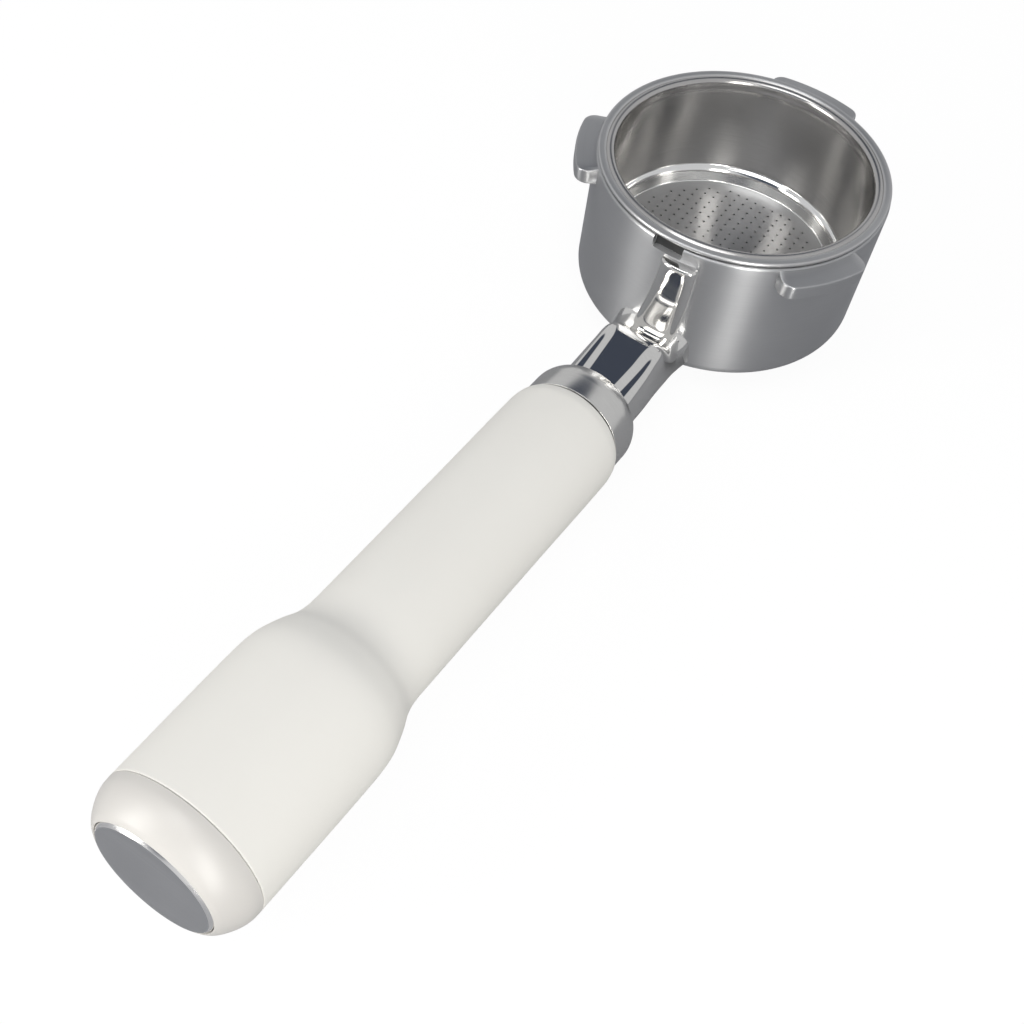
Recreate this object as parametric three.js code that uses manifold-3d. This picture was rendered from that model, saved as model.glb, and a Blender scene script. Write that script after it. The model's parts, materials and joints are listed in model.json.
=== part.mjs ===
// A bottomless espresso portafilter: a cup ring with three bayonet lugs, a lift-out filter basket held
// by a wire spring, and a polished arm that carries a slim handle pulled tight by one long bolt.
// Millimetres, +Z up the cup's axis, with the origin at the centre of the rim and the handle along -Y.
import * as THREE from "three";
import { mergeVertices } from "three/addons/utils/BufferGeometryUtils.js";
import Module from "manifold-3d";

const wasm = await Module();
wasm.setup();

const degrees = Math.PI / 180;
const fit = 0.3; // clearance between touching pieces

// The cup ring.
const cupRadius = 29.8;
const cupTop = -0.75;
const cupBase = -31;
const cupBore = 27.6;
const baseRounding = 3;
const outletRadius = 24.2;
const lipTop = -27.2;
const grooveHeight = -8;
const wireRadius = 0.6;

// The bayonet lugs, by angle from the handle, counter-clockwise from above.
const lugs = [
  { angle: -65.5, span: 33 },
  { angle: 56.5, span: 33 },
  { angle: 177.3, span: 36 },
];
const lugRadius = 34;
const lugTop = -1.4;
const lugThickness = 3.05;

// The filter basket.
const basketRadius = 26.7;
const sheet = 0.6;
const rimRadius = 29.6;
const rimTop = 0.45;
const floorRadius = 24.2;
const floorTop = -24.6;
const stepTop = -20.8;

// The handle's axis leaves the cup's axis at this height and rises by this angle.
const axisHeight = -30.4;
const tilt = 6.07 * degrees;

// Stations along the handle's axis, measured from the cup's axis.
const shoulder = 54.4;
const spigotRadius = 6;
const spigotEnd = 82;
const collarRadius = 11;
const collarEnd = 63.1;
const gripFront = 64;
const gripRear = 166.2;
const handleEnd = 173;
const discRadius = 10.5;
const coreRadius = 9.2;
const coreEnd = 150;
const boltRadius = 3;
const boltTip = 69;

const satinSteel = new THREE.MeshStandardMaterial({ color: 0x9b9c9e, roughness: 0.34, metalness: 1 });
const polishedSteel = new THREE.MeshStandardMaterial({ color: 0xd8d6d2, roughness: 0.07, metalness: 1 });
const basketSteel = new THREE.MeshStandardMaterial({ color: 0xa9a8a6, roughness: 0.26, metalness: 1 });
const brushedSteel = new THREE.MeshStandardMaterial({ color: 0x83888b, roughness: 0.38, metalness: 1 });
const plainSteel = new THREE.MeshStandardMaterial({ color: 0x8c8c8c, roughness: 0.42, metalness: 1 });
const springSteel = new THREE.MeshStandardMaterial({ color: 0x8f8d88, roughness: 0.3, metalness: 1 });
const offWhite = new THREE.MeshStandardMaterial({ color: 0xe9e6df, roughness: 0.5, metalness: 0 });
const blackRubber = new THREE.MeshStandardMaterial({ color: 0x171717, roughness: 0.8, metalness: 0 });
const aluminium = new THREE.MeshStandardMaterial({ color: 0xb4b6b8, roughness: 0.45, metalness: 1 });

/** Turns a closed geometry into a solid that can be joined and cut. */
function solidOf(geometry) {
  const bare = geometry.clone();
  bare.deleteAttribute("normal");
  bare.deleteAttribute("uv");
  const merged = mergeVertices(bare, 1e-4);
  return new wasm.Manifold(
    new wasm.Mesh({
      numProp: 3,
      vertProperties: new Float32Array(merged.attributes.position.array),
      triVerts: new Uint32Array(merged.index.array),
    }),
  );
}

/** Turns a solid back into a geometry with flat faces. */
function geometryOf(solid) {
  const result = solid.getMesh();
  const geometry = new THREE.BufferGeometry();
  geometry.setAttribute("position", new THREE.BufferAttribute(result.vertProperties, 3));
  geometry.setIndex(new THREE.BufferAttribute(result.triVerts, 1));
  const faceted = geometry.toNonIndexed();
  faceted.computeVertexNormals();
  return faceted;
}

function part(name, geometry, material) {
  const mesh = new THREE.Mesh(geometry, material);
  mesh.name = name;
  return mesh;
}

/** Points of an arc from one angle to another, in degrees, both ends included. */
function arc(centreX, centreY, radius, from, to, steps) {
  return Array.from({ length: steps + 1 }, (_, i) => {
    const angle = (from + ((to - from) * i) / steps) * degrees;
    return [centreX + radius * Math.cos(angle), centreY + radius * Math.sin(angle)];
  });
}

/** Revolves a closed outline of [radius, height] points about Y; it runs anticlockwise. */
function revolve(outline, segments) {
  const points = outline.map(([r, y]) => new THREE.Vector2(r, y));
  if (outline[0][0] > 0) {
    points.push(points[0].clone());
  }
  return new THREE.LatheGeometry(points, segments);
}

/** The same outline revolved about the cup's axis, Z. */
function revolveUpright(outline, segments) {
  return revolve(outline, segments).rotateX(Math.PI / 2);
}

/** A smooth function through [station, value] pairs. */
function profile(pairs) {
  const slope = (i, j) => (pairs[j][1] - pairs[i][1]) / (pairs[j][0] - pairs[i][0]);
  const last = pairs.length - 1;
  const tangents = pairs.map((_, i) => slope(Math.max(i - 1, 0), Math.min(i + 1, last)));
  return (station) => {
    const next = pairs.findIndex(([s]) => s > station);
    const i = next < 0 ? last - 1 : Math.max(next - 1, 0);
    const [s0, v0] = pairs[i];
    const [s1, v1] = pairs[i + 1];
    const width = s1 - s0;
    const t = THREE.MathUtils.clamp((station - s0) / width, 0, 1);
    const rise = (3 - 2 * t) * t * t;
    const leave = t * (1 - t) * (1 - t) * width * tangents[i];
    const arrive = t * t * (t - 1) * width * tangents[i + 1];
    return v0 + (v1 - v0) * rise + leave + arrive;
  };
}

/** A closed bar from station `from` to `to` along Y, whose section at each station is section(angle, s). */
function shapedBar(from, to, around, steps, section) {
  const bar = new THREE.CylinderGeometry(1, 1, to - from, around, steps).translate(0, (from + to) / 2, 0);
  const positions = bar.attributes.position;
  for (let i = 0; i < positions.count; i++) {
    const x = positions.getX(i);
    const z = positions.getZ(i);
    const station = positions.getY(i);
    const [across, up] = section(Math.atan2(x, z), station);
    const reach = Math.min(Math.hypot(x, z), 1);
    positions.setXYZ(i, across * reach, station, up * reach);
  }
  return bar;
}

/** A post of given radius standing on Z = bottom, upright in the cup's frame. */
function post(radius, bottom, top, segments) {
  const height = top - bottom;
  return new THREE.CylinderGeometry(radius, radius, height, segments)
    .rotateX(Math.PI / 2)
    .translate(0, 0, bottom + height / 2);
}

/** One bayonet lug: a ring sector with rounded corners and softened edges. */
function lugGeometry(angle, span) {
  const half = (span / 2) * degrees;
  const corner = 2.6;
  const bevel = 0.4;
  const inner = cupRadius - 1.2;
  const outer = lugRadius - bevel;
  const cornerTurn = corner / outer;
  const shape = new THREE.Shape();
  shape.moveTo(inner * Math.cos(-half), inner * Math.sin(-half));
  shape.lineTo((outer - corner) * Math.cos(-half), (outer - corner) * Math.sin(-half));
  shape.quadraticCurveTo(
    outer * Math.cos(-half),
    outer * Math.sin(-half),
    outer * Math.cos(cornerTurn - half),
    outer * Math.sin(cornerTurn - half),
  );
  shape.absarc(0, 0, outer, cornerTurn - half, half - cornerTurn, false);
  shape.quadraticCurveTo(
    outer * Math.cos(half),
    outer * Math.sin(half),
    (outer - corner) * Math.cos(half),
    (outer - corner) * Math.sin(half),
  );
  shape.lineTo(inner * Math.cos(half), inner * Math.sin(half));
  shape.absarc(0, 0, inner, half, -half, true);
  const lug = new THREE.ExtrudeGeometry(shape, {
    depth: lugThickness - 2 * bevel,
    bevelThickness: bevel,
    bevelSize: bevel,
    bevelSegments: 1,
    curveSegments: 8,
  });
  return lug.translate(0, 0, lugTop - lugThickness + bevel).rotateZ((angle - 90) * degrees);
}

/** The cup ring: open below, with a lip at its foot, a spring groove, three lugs and a rim notch. */
function cupRing() {
  const grooveHalf = wireRadius + fit;
  const grooveRadius = 28.5;
  const outline = [
    [cupBore, cupTop],
    [cupBore, grooveHeight + grooveHalf],
    [grooveRadius, grooveHeight + grooveHalf],
    [grooveRadius, grooveHeight - grooveHalf],
    [cupBore, grooveHeight - grooveHalf],
    [cupBore, lipTop + 0.8],
    [cupBore - 0.8, lipTop],
    [outletRadius + 0.5, lipTop],
    [outletRadius, lipTop - 0.5],
    [outletRadius, cupBase + 0.6],
    [outletRadius + 0.6, cupBase],
    ...arc(cupRadius - baseRounding, cupBase + baseRounding, baseRounding, -90, 0, 5),
    [cupRadius, cupTop - 0.4],
    [cupRadius - 0.4, cupTop],
  ];
  let cup = solidOf(revolveUpright(outline, 60));
  for (const { angle, span } of lugs) {
    cup = cup.add(solidOf(lugGeometry(angle, span)));
  }
  const notchWidth = 6.4;
  const notchFoot = -3.2;
  const notchDepth = 1.4;
  const notch = new THREE.BoxGeometry(notchWidth, 6, 2 * (cupTop - notchFoot))
    .translate(0, -(cupRadius + 3 - notchDepth), cupTop)
    .rotateZ(-2 * degrees);
  return geometryOf(cup.subtract(solidOf(notch)));
}

/** The pressed basket: rolled rim, straight wall, a stepped ring and a flat floor. */
function filterBasket() {
  const inside = basketRadius - sheet;
  const flange = 0.9;
  const flangeRound = flange / 2;
  const beadRadius = 1.1;
  const outline = [
    [0, floorTop - sheet],
    [floorRadius, floorTop - sheet],
    [floorRadius + 0.7, floorTop - sheet + 0.5],
    [floorRadius + 1.3, stepTop - 1.9],
    [basketRadius - 0.5, stepTop - 1.4],
    [basketRadius, stepTop - 0.8],
    [basketRadius, rimTop - flange],
    ...arc(rimRadius - flangeRound, rimTop - flangeRound, flangeRound, -90, 90, 5),
    ...arc(inside + beadRadius, rimTop - beadRadius, beadRadius, 90, 180, 4),
    [inside, stepTop],
    [inside - 0.35, stepTop - 0.55],
    [floorRadius + 1.1, stepTop - 0.9],
    [floorRadius + 0.75, stepTop - 1.6],
    [floorRadius + 0.15, floorTop + 0.5],
    [floorRadius - 0.35, floorTop],
    [0, floorTop],
  ];
  return revolveUpright(outline, 60);
}

/** The open wire ring in the cup's groove that grips the basket. */
function basketSpring() {
  const ringRadius = basketRadius + fit + wireRadius;
  const gap = 14 * degrees;
  const path = new THREE.Curve();
  path.getPoint = (t, target = new THREE.Vector3()) => {
    const angle = gap + t * (2 * Math.PI - 2 * gap);
    return target.set(ringRadius * Math.cos(angle), ringRadius * Math.sin(angle), grooveHeight);
  };
  const section = new THREE.Shape().absarc(0, 0, wireRadius, 0, 2 * Math.PI, false);
  return new THREE.ExtrudeGeometry(section, { steps: 56, curveSegments: 4, extrudePath: path });
}

// The arm's outline along the handle's axis: [station, distance from the axis].
const saddle = [[28.3, 9.6], [29.3, 7.9], [30.3, 6.6], [31.5, 5.7], [33, 5.3], [34.3, 5.5], [35.6, 6.2]];
const crest = [[37.4, 7.7], [38.7, 8.55], [39.8, 8.72], [42, 8.25]];
const armTop = profile([...saddle, ...crest, [46, 7.3], [54.4, 6]]);
const armBottom = profile([[28, 3], [33, 4], [39, 5.6], [46, 6.5], [54.4, 7]]);
const armSide = profile([[28, 9.4], [30, 8.8], [32, 8.4], [34, 8.1], [40, 7.8], [46, 8], [54.4, 8]]);
const facetHalf = profile([[28, 4.2], [37, 4], [39.5, 3.6], [42, 3.3], [46, 3.1], [54.4, 2.5]]);
const fluteFrom = 38.5;
const fluteFull = 43;

/** The neck's section: a rounded bar with a flat top facet and a shallow flute down each shoulder. */
function neckSection(angle, station) {
  const side = armSide(station);
  const sine = Math.sin(angle);
  const across = side * Math.sign(sine) * Math.abs(sine) ** 0.85;
  const share = Math.min(Math.abs(across) / side, 1);
  const round = (1 - share ** 2.4) ** (1 / 2.4);
  if (Math.cos(angle) < 0) {
    return [across, -armBottom(station) * round];
  }
  const facet = facetHalf(station) / side;
  const fall = Math.max(share - facet, 0) / (1 - facet);
  const fluteDepth = 0.9 * THREE.MathUtils.smoothstep(station, fluteFrom, fluteFull);
  const flute = fluteDepth * Math.sin(Math.PI * Math.min(fall * 1.5, 1)) ** 2;
  const shoulderDrop = (1 - fall ** 2.4) ** (1 / 2.4);
  return [across, (armTop(station) - flute) * shoulderDrop];
}

/** The section of the rib that climbs the cup's wall, seen from above; it leans a little to the right. */
function ribSection(angle, height) {
  const climb = THREE.MathUtils.clamp((height + 23) / 18, 0, 1);
  const belly = 1.8 * climb * (1 - climb);
  const half = 3.4 + 1.2 * (1 - climb) ** 2 + 0.5 * climb ** 3 + belly;
  const proud = 2.6 - 0.7 * climb;
  const lean = 0.2 + 2.1 * climb + belly;
  const boxy = (value) => Math.sign(value) * Math.abs(value) ** 0.6;
  return [lean + half * boxy(Math.sin(angle)), cupRadius + proud * boxy(Math.cos(angle))];
}

/** The arm: saddle, wall rib and neck, then a spigot tapped for the bolt. */
function armGeometry(toWorld) {
  const neck = solidOf(shapedBar(28, shoulder, 36, 20, neckSection).applyMatrix4(toWorld));
  const spigotLength = spigotEnd - shoulder + 2;
  const spigot = new THREE.CylinderGeometry(spigotRadius, spigotRadius, spigotLength, 32)
    .translate(0, spigotEnd - spigotLength / 2, 0)
    .applyMatrix4(toWorld);
  const ribFoot = -24;
  const ribTop = -3.7;
  const rib = shapedBar(ribFoot, ribTop, 20, 8, ribSection).rotateX(Math.PI / 2);
  const tapped = new THREE.CylinderGeometry(boltRadius + fit, boltRadius + fit, 20, 24)
    .translate(0, boltTip - 1 + 10, 0)
    .applyMatrix4(toWorld);
  const pinHole = turnStopPin(fit).applyMatrix4(toWorld);
  const arm = neck
    .add(solidOf(spigot))
    .add(solidOf(rib))
    .subtract(solidOf(post(cupRadius + fit, -60, 20, 96)))
    .subtract(solidOf(tapped))
    .subtract(solidOf(pinHole));
  return geometryOf(arm);
}

/** The short pin that stops the handle turning on the arm, grown by `grow` to make its hole. */
function turnStopPin(grow) {
  const inner = 4.6;
  const outer = 8;
  return new THREE.CylinderGeometry(1.2 + grow, 1.2 + grow, outer - inner + 2 * grow, 16)
    .rotateX(Math.PI / 2)
    .translate(0, 76, (inner + outer) / 2);
}

/** The ferrule between the neck and the grip, with a rounded front edge. */
function collar() {
  const bore = spigotRadius + fit;
  return revolve(
    [
      [bore, shoulder + fit],
      [collarRadius - 2, shoulder + fit],
      [collarRadius - 1, shoulder + 0.8],
      [collarRadius - 0.4, shoulder + 1.7],
      [collarRadius, shoulder + 3.2],
      [collarRadius, collarEnd - 0.2],
      [collarRadius - 0.2, collarEnd],
      [bore, collarEnd],
    ],
    40,
  );
}

/** The thin rubber ring that keeps water out of the grip. */
function collarSeal() {
  const bore = spigotRadius + fit;
  const outer = collarRadius - 0.2;
  return revolve(
    [
      [bore, collarEnd + fit],
      [outer, collarEnd + fit],
      [outer, gripFront - fit],
      [bore, gripFront - fit],
    ],
    40,
  );
}

/** The slim grip with its wider butt, hollow for the core. */
function grip() {
  const bore = coreRadius + fit;
  const nearCollar = [[64.5, 11.55], [66.5, 11.85], [90, 11.6], [122, 11.3]];
  const overButt = [[127, 11.35], [130, 11.9], [133, 13.1], [137, 14.25], [142, 14.5], [166, 14.05]];
  const outer = profile([...nearCollar, ...overButt]);
  const slim = [64.5, 66.5, 80, 100, 118, 125];
  const flare = [127.5, 130, 132.5, 135, 138];
  const butt = [142, 152, gripRear - 0.5];
  return revolve(
    [
      [bore, gripFront],
      [11.2, gripFront],
      ...[...slim, ...flare, ...butt].map((s) => [outer(s), s]),
      [outer(gripRear) - 0.4, gripRear],
      [bore, gripRear],
    ],
    40,
  );
}

/** The sleeve inside the grip: over the spigot at the front, close round the bolt behind it. */
function gripCore() {
  const core = revolve(
    [
      [spigotRadius + fit, gripFront + 1],
      [coreRadius, gripFront + 1],
      [coreRadius, coreEnd],
      [boltRadius + fit, coreEnd],
      [boltRadius + fit, spigotEnd + fit],
      [spigotRadius + fit, spigotEnd + fit],
    ],
    32,
  );
  return geometryOf(solidOf(core).subtract(solidOf(turnStopPin(fit))));
}

/** A flat washer between two stations. */
function washer(from, to, radius) {
  return revolve(
    [
      [boltRadius + fit, from],
      [radius, from],
      [radius, to],
      [boltRadius + fit, to],
    ],
    28,
  );
}

/** A spring washer: a flat ring with a slanting split. */
function lockWasher(from, to, radius) {
  const split = new THREE.BoxGeometry(1, 4 * (to - from), 2 * radius)
    .rotateZ(0.5)
    .translate(0, (from + to) / 2, radius);
  return geometryOf(solidOf(washer(from, to, radius)).subtract(solidOf(split)));
}

/** The long socket-head bolt that pulls core, grip and collar onto the arm. */
function tieBolt(headFrom) {
  const headHeight = 5.5;
  const bolt = revolve(
    [
      [0, boltTip],
      [boltRadius - 0.5, boltTip],
      [boltRadius, boltTip + 0.5],
      [boltRadius, headFrom],
      [4.9, headFrom],
      [4.9, headFrom + headHeight - 0.4],
      [4.5, headFrom + headHeight],
      [0, headFrom + headHeight],
    ],
    28,
  );
  const socket = new THREE.CylinderGeometry(2.9, 2.9, 6, 6).translate(0, headFrom + headHeight, 0);
  return geometryOf(solidOf(bolt).subtract(solidOf(socket)));
}

/** The moulded end cap: a plug inside the grip, and a rounded nose with a recess for the disc. */
function endCap() {
  const plugFront = 160.4;
  const capFront = gripRear + fit;
  const capRadius = 14;
  const recess = discRadius + fit;
  const lip = handleEnd - 0.35;
  const noseStart = [[168, 13.85], [169.5, 13.3], [171, 12.45]];
  const nose = profile([...noseStart, [172, 11.65], [172.4, 11.2], [lip, recess]]);
  const recessFloor = handleEnd - 2.9;
  return revolve(
    [
      [6.5, plugFront],
      [coreRadius, plugFront],
      [coreRadius, capFront],
      [capRadius - 0.4, capFront],
      [capRadius, capFront + 0.4],
      ...[168, 169, 170, 171, 171.7, 172.2, lip].map((s) => [nose(s), s]),
      [recess, recessFloor],
      [6.5, recessFloor],
    ],
    40,
  );
}

/** The adhesive pad that holds the disc in its recess. */
function discPad() {
  return revolve(
    [
      [0, handleEnd - 2.6],
      [10.2, handleEnd - 2.6],
      [10.2, handleEnd - 2],
      [0, handleEnd - 2],
    ],
    40,
  );
}

/** The metal disc set in the handle's end. */
function endDisc() {
  return revolve(
    [
      [0, handleEnd - 1.7],
      [discRadius, handleEnd - 1.7],
      [discRadius, handleEnd - 0.5],
      [discRadius - 0.5, handleEnd],
      [0, handleEnd],
    ],
    40,
  );
}

const portafilter = new THREE.Group();

const handle = new THREE.Group();
handle.position.z = axisHeight;
handle.rotation.x = Math.PI - tilt;
handle.rotateY(Math.PI);
handle.updateMatrix();

portafilter.add(
  part("cup_ring", cupRing(), satinSteel),
  part("filter_basket", filterBasket(), basketSteel),
  part("basket_spring", basketSpring(), springSteel),
  part("arm", armGeometry(handle.matrix), polishedSteel),
  handle,
);

handle.add(
  part("collar", collar(), polishedSteel),
  part("collar_seal", collarSeal(), blackRubber),
  part("grip", grip(), offWhite),
  part("grip_core", gripCore(), aluminium),
  part("turn_stop_pin", turnStopPin(0), plainSteel),
  part("bolt_washer", washer(coreEnd + fit, coreEnd + 1.6, 7), plainSteel),
  part("lock_washer", lockWasher(coreEnd + 1.9, coreEnd + 3.3, 5), plainSteel),
  part("tie_bolt", tieBolt(coreEnd + 3.6), plainSteel),
  part("end_cap", endCap(), offWhite),
  part("disc_pad", discPad(), blackRubber),
  part("end_disc", endDisc(), brushedSteel),
);

export default portafilter;
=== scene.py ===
# %% [markdown]
# # A bottomless portafilter
#
# A portafilter is the handle that a barista locks under an espresso machine. This one has a satin
# steel cup ring with three bayonet lugs, a thin pressed filter basket that lifts out, a mirror
# polished arm, and a slim off-white handle with a metal disc set in its end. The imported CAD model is
# loaded first as a fixed frame, and every finer piece is then built in the same place.

import json
import math

import bmesh
import bpy
from mathutils import Matrix, Vector


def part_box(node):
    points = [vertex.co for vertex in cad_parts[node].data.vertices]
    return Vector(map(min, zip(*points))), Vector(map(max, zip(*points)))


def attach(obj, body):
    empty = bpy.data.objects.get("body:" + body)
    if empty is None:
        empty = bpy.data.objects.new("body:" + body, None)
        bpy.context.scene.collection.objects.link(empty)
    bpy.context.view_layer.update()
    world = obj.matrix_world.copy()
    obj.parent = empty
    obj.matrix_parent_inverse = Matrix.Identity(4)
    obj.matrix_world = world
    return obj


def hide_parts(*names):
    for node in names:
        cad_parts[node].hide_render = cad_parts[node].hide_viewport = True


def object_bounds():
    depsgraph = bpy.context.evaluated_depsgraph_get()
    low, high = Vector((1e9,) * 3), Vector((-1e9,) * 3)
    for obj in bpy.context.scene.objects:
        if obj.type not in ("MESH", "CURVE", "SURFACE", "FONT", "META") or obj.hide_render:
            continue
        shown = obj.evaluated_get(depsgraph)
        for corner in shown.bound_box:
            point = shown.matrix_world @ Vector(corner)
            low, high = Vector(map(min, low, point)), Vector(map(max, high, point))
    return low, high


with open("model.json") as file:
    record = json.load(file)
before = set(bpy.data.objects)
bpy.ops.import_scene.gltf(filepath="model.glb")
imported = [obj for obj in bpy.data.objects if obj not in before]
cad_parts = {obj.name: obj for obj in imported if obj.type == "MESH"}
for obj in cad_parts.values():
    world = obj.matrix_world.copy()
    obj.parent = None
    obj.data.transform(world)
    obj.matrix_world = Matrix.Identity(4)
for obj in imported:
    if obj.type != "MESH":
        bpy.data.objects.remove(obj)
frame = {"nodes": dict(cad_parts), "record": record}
cad_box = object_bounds()
MM = 0.001
print("CAD nodes:", ", ".join(sorted(frame["nodes"])))

# %% [markdown]
# ## The handle's axis
#
# Everything from the neck to the end disc is turned about one axis, which crosses the cup's axis and
# rises a few degrees. The record keeps that axis: the mount on the end disc gives its direction and
# its far end. The axis and its height at the cup come from that, so the pieces made here line up
# with the CAD ones. A station is a distance along this axis from the cup's axis, in millimetres.

# %% Read the handle's axis from the record
mounts = {mount["name"]: mount for mount in frame["record"]["mounts"]}
handle_along = Vector(mounts["handle_end"]["axis"]).normalized()
handle_across = Vector((-1, 0, 0))
handle_up = handle_across.cross(handle_along)
end_point = Vector(mounts["handle_end"]["pos_m"])
end_point.x = 0
handle_length = end_point.y / handle_along.y
handle_start = end_point - handle_length * handle_along
HANDLE_END = handle_length / MM

handle_frame = Matrix.Identity(4)
for row in range(3):
    handle_frame[row][0] = handle_across[row]
    handle_frame[row][1] = handle_along[row]
    handle_frame[row][2] = handle_up[row]
    handle_frame[row][3] = handle_start[row]
print(f"handle axis: {HANDLE_END:.1f} mm long, rising {math.degrees(math.asin(handle_along.z)):.2f} degrees")

# %% [markdown]
# ## Turning a piece
#
# Most pieces are round, so one helper turns an outline about an axis, as a lathe does. An outline is
# a short list of radius and height pairs. Real turned and pressed edges are never sharp, so a second
# helper rounds each corner of the outline with a short curve first. Corners given as plain numbers
# keep the list readable, and the rounding gives each edge the thin line of light that it really has.

# %% Helpers for outlines and turned meshes
ON_AXIS = 1e-6
SHARP_EDGE = 32


def rounded(outline, radius, steps=4, closed=True):
    """The outline with each corner swapped for a short curve that starts `radius` before it."""
    points = [Vector(p) for p in outline]
    count = len(points)
    result = []
    for i, corner in enumerate(points):
        if not closed and i in (0, count - 1):
            result.append(tuple(corner))
            continue
        before, after = points[i - 1], points[(i + 1) % count]
        reach_in = min(radius, 0.45 * (before - corner).length)
        reach_out = min(radius, 0.45 * (after - corner).length)
        start = corner + (before - corner).normalized() * reach_in
        end = corner + (after - corner).normalized() * reach_out
        for k in range(steps + 1):
            t = k / steps
            result.append(tuple((1 - t) ** 2 * start + 2 * t * (1 - t) * corner + t * t * end))
    return result


def turn_into(mesh, outline, segments, place, upright):
    """Adds a turned surface to a bmesh. upright turns about Z, otherwise about the station axis Y."""
    rings = []
    for radius, height in outline:
        if radius < ON_AXIS:
            centre = Vector((0, 0, height)) if upright else Vector((0, height, 0))
            rings.append([mesh.verts.new(place @ (centre * MM))])
            continue
        ring = []
        for i in range(segments):
            angle = 2 * math.pi * i / segments
            c, s = radius * math.cos(angle), radius * math.sin(angle)
            point = Vector((c, s, height)) if upright else Vector((c, height, s))
            ring.append(mesh.verts.new(place @ (point * MM)))
        rings.append(ring)
    closed = len(rings[0]) > 1
    for a, b in zip(rings, rings[1:] + rings[:1] if closed else rings[1:]):
        for i in range(segments):
            j = (i + 1) % segments
            if len(a) == 1 and len(b) == 1:
                break
            corners = [a[0], b[j], b[i]] if len(a) == 1 else [a[i], a[j], b[0]] if len(b) == 1 else None
            mesh.faces.new(corners or [a[i], a[j], b[j], b[i]])


def bridge(mesh, first, second):
    """Joins two rings of the same size with a band of faces."""
    for i in range(len(first)):
        j = (i + 1) % len(first)
        mesh.faces.new([first[i], first[j], second[j], second[i]])


def shade_smooth(data, sharp=SHARP_EDGE):
    """Smooth faces, with a crisp edge where two of them meet at more than `sharp` degrees."""
    for polygon in data.polygons:
        polygon.use_smooth = True
    data.set_sharp_from_angle(angle=math.radians(sharp))


def finish_mesh(mesh, name, sharp=SHARP_EDGE):
    """Turns a bmesh into an object with smooth faces and crisp edges."""
    bmesh.ops.recalc_face_normals(mesh, faces=mesh.faces)
    data = bpy.data.meshes.new(name)
    mesh.to_mesh(data)
    mesh.free()
    shade_smooth(data, sharp)
    piece = bpy.data.objects.new(name, data)
    bpy.context.scene.collection.objects.link(piece)
    print(f"{name}: {len(data.polygons)} faces")
    return piece


def turned(name, outline, segments=160, softness=0.25):
    """A turned piece about the handle's axis."""
    mesh = bmesh.new()
    on_axis = outline[0][0] < ON_AXIS
    turn_into(mesh, rounded(outline, softness, closed=not on_axis), segments, handle_frame, False)
    return finish_mesh(mesh, name)


def stand_for(piece, node, body):
    """Hides the CAD node that the piece replaces and attaches the piece to what it moves with."""
    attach(piece, body)
    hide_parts(node)


# %% [markdown]
# ## Curves through a few stations
#
# The neck, the grip and the butt change width smoothly along the handle. A smooth function through a
# few station and value pairs (a Hermite curve) describes each of them, and the mesh can then be as
# fine as it needs to be without any long table of numbers.

# %% A smooth function through a few pairs
def profile(pairs):
    """A smooth function that passes through [station, value] pairs."""
    last = len(pairs) - 1

    def slope(i, j):
        return (pairs[j][1] - pairs[i][1]) / (pairs[j][0] - pairs[i][0])

    tangents = [slope(max(i - 1, 0), min(i + 1, last)) for i in range(last + 1)]

    def value(station):
        i = max(min(sum(1 for s, _ in pairs if s <= station) - 1, last - 1), 0)
        (s0, v0), (s1, v1) = pairs[i], pairs[i + 1]
        width = s1 - s0
        t = min(max((station - s0) / width, 0), 1)
        rise = (3 - 2 * t) * t * t
        leave = t * (1 - t) ** 2 * width * tangents[i]
        arrive = t * t * (t - 1) * width * tangents[i + 1]
        return v0 + (v1 - v0) * rise + leave + arrive

    return value


def ramp(start, end, count):
    return [start + (end - start) * i / (count - 1) for i in range(count)]


# %% [markdown]
# ## The cup ring
#
# The cup is a short, heavy ring, open below so that the coffee falls straight out of the basket. Its
# outline carries the spring's groove inside, a lip at the foot and a full round on the lower outside
# edge. The ring is turned from that outline, then the rim notch is cut with a boolean, because a
# notch is the one place where a turned shape is interrupted.

# %% Turn the cup ring
CUP_RADIUS = 29.8
CUP_TOP = -0.75
CUP_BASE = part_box("cup_ring")[0].z / MM
BASE_ROUND = 3.0
TOP_ROUND = 0.5


def quarter(centre_r, centre_z, radius, start, end, steps):
    """Points of an arc, in degrees."""
    angles = [math.radians(a) for a in ramp(start, end, steps)]
    return [(centre_r + radius * math.cos(a), centre_z + radius * math.sin(a)) for a in angles]


inner_side = rounded(
    [(29.3, CUP_TOP), (27.6, CUP_TOP), (27.6, -7.1), (28.5, -7.1), (28.5, -8.9), (27.6, -8.9), (27.6, -27.2),
     (24.2, -27.2), (24.2, CUP_BASE), (26.8, CUP_BASE)],
    0.45, closed=False)
outer_side = quarter(CUP_RADIUS - BASE_ROUND, CUP_BASE + BASE_ROUND, BASE_ROUND, -88, 0, 14)
outer_side += [(CUP_RADIUS, z) for z in ramp(-26, -3, 12)]
outer_side += quarter(CUP_RADIUS - TOP_ROUND, CUP_TOP - TOP_ROUND, TOP_ROUND, 0, 86, 6)
cup_mesh = bmesh.new()
turn_into(cup_mesh, inner_side + outer_side, 240, Matrix.Identity(4), True)
cup = finish_mesh(cup_mesh, "cup_ring_body")

# %% [markdown]
# The rim notch sits just under the basket's bead, on the handle's side. The cutter is a small block
# with rounded vertical edges, so the cut's corners come out soft, as a milled slot's are.

# %% Cut the rim notch
NOTCH_ANGLE = math.radians(-2)
NOTCH_WIDTH = 6.4
NOTCH_FOOT = -3.2
NOTCH_DEPTH = 1.4
NOTCH_CORNER = 0.7
CUTTER_TOP = 1.5
CUTTER_REACH = 2


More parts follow.
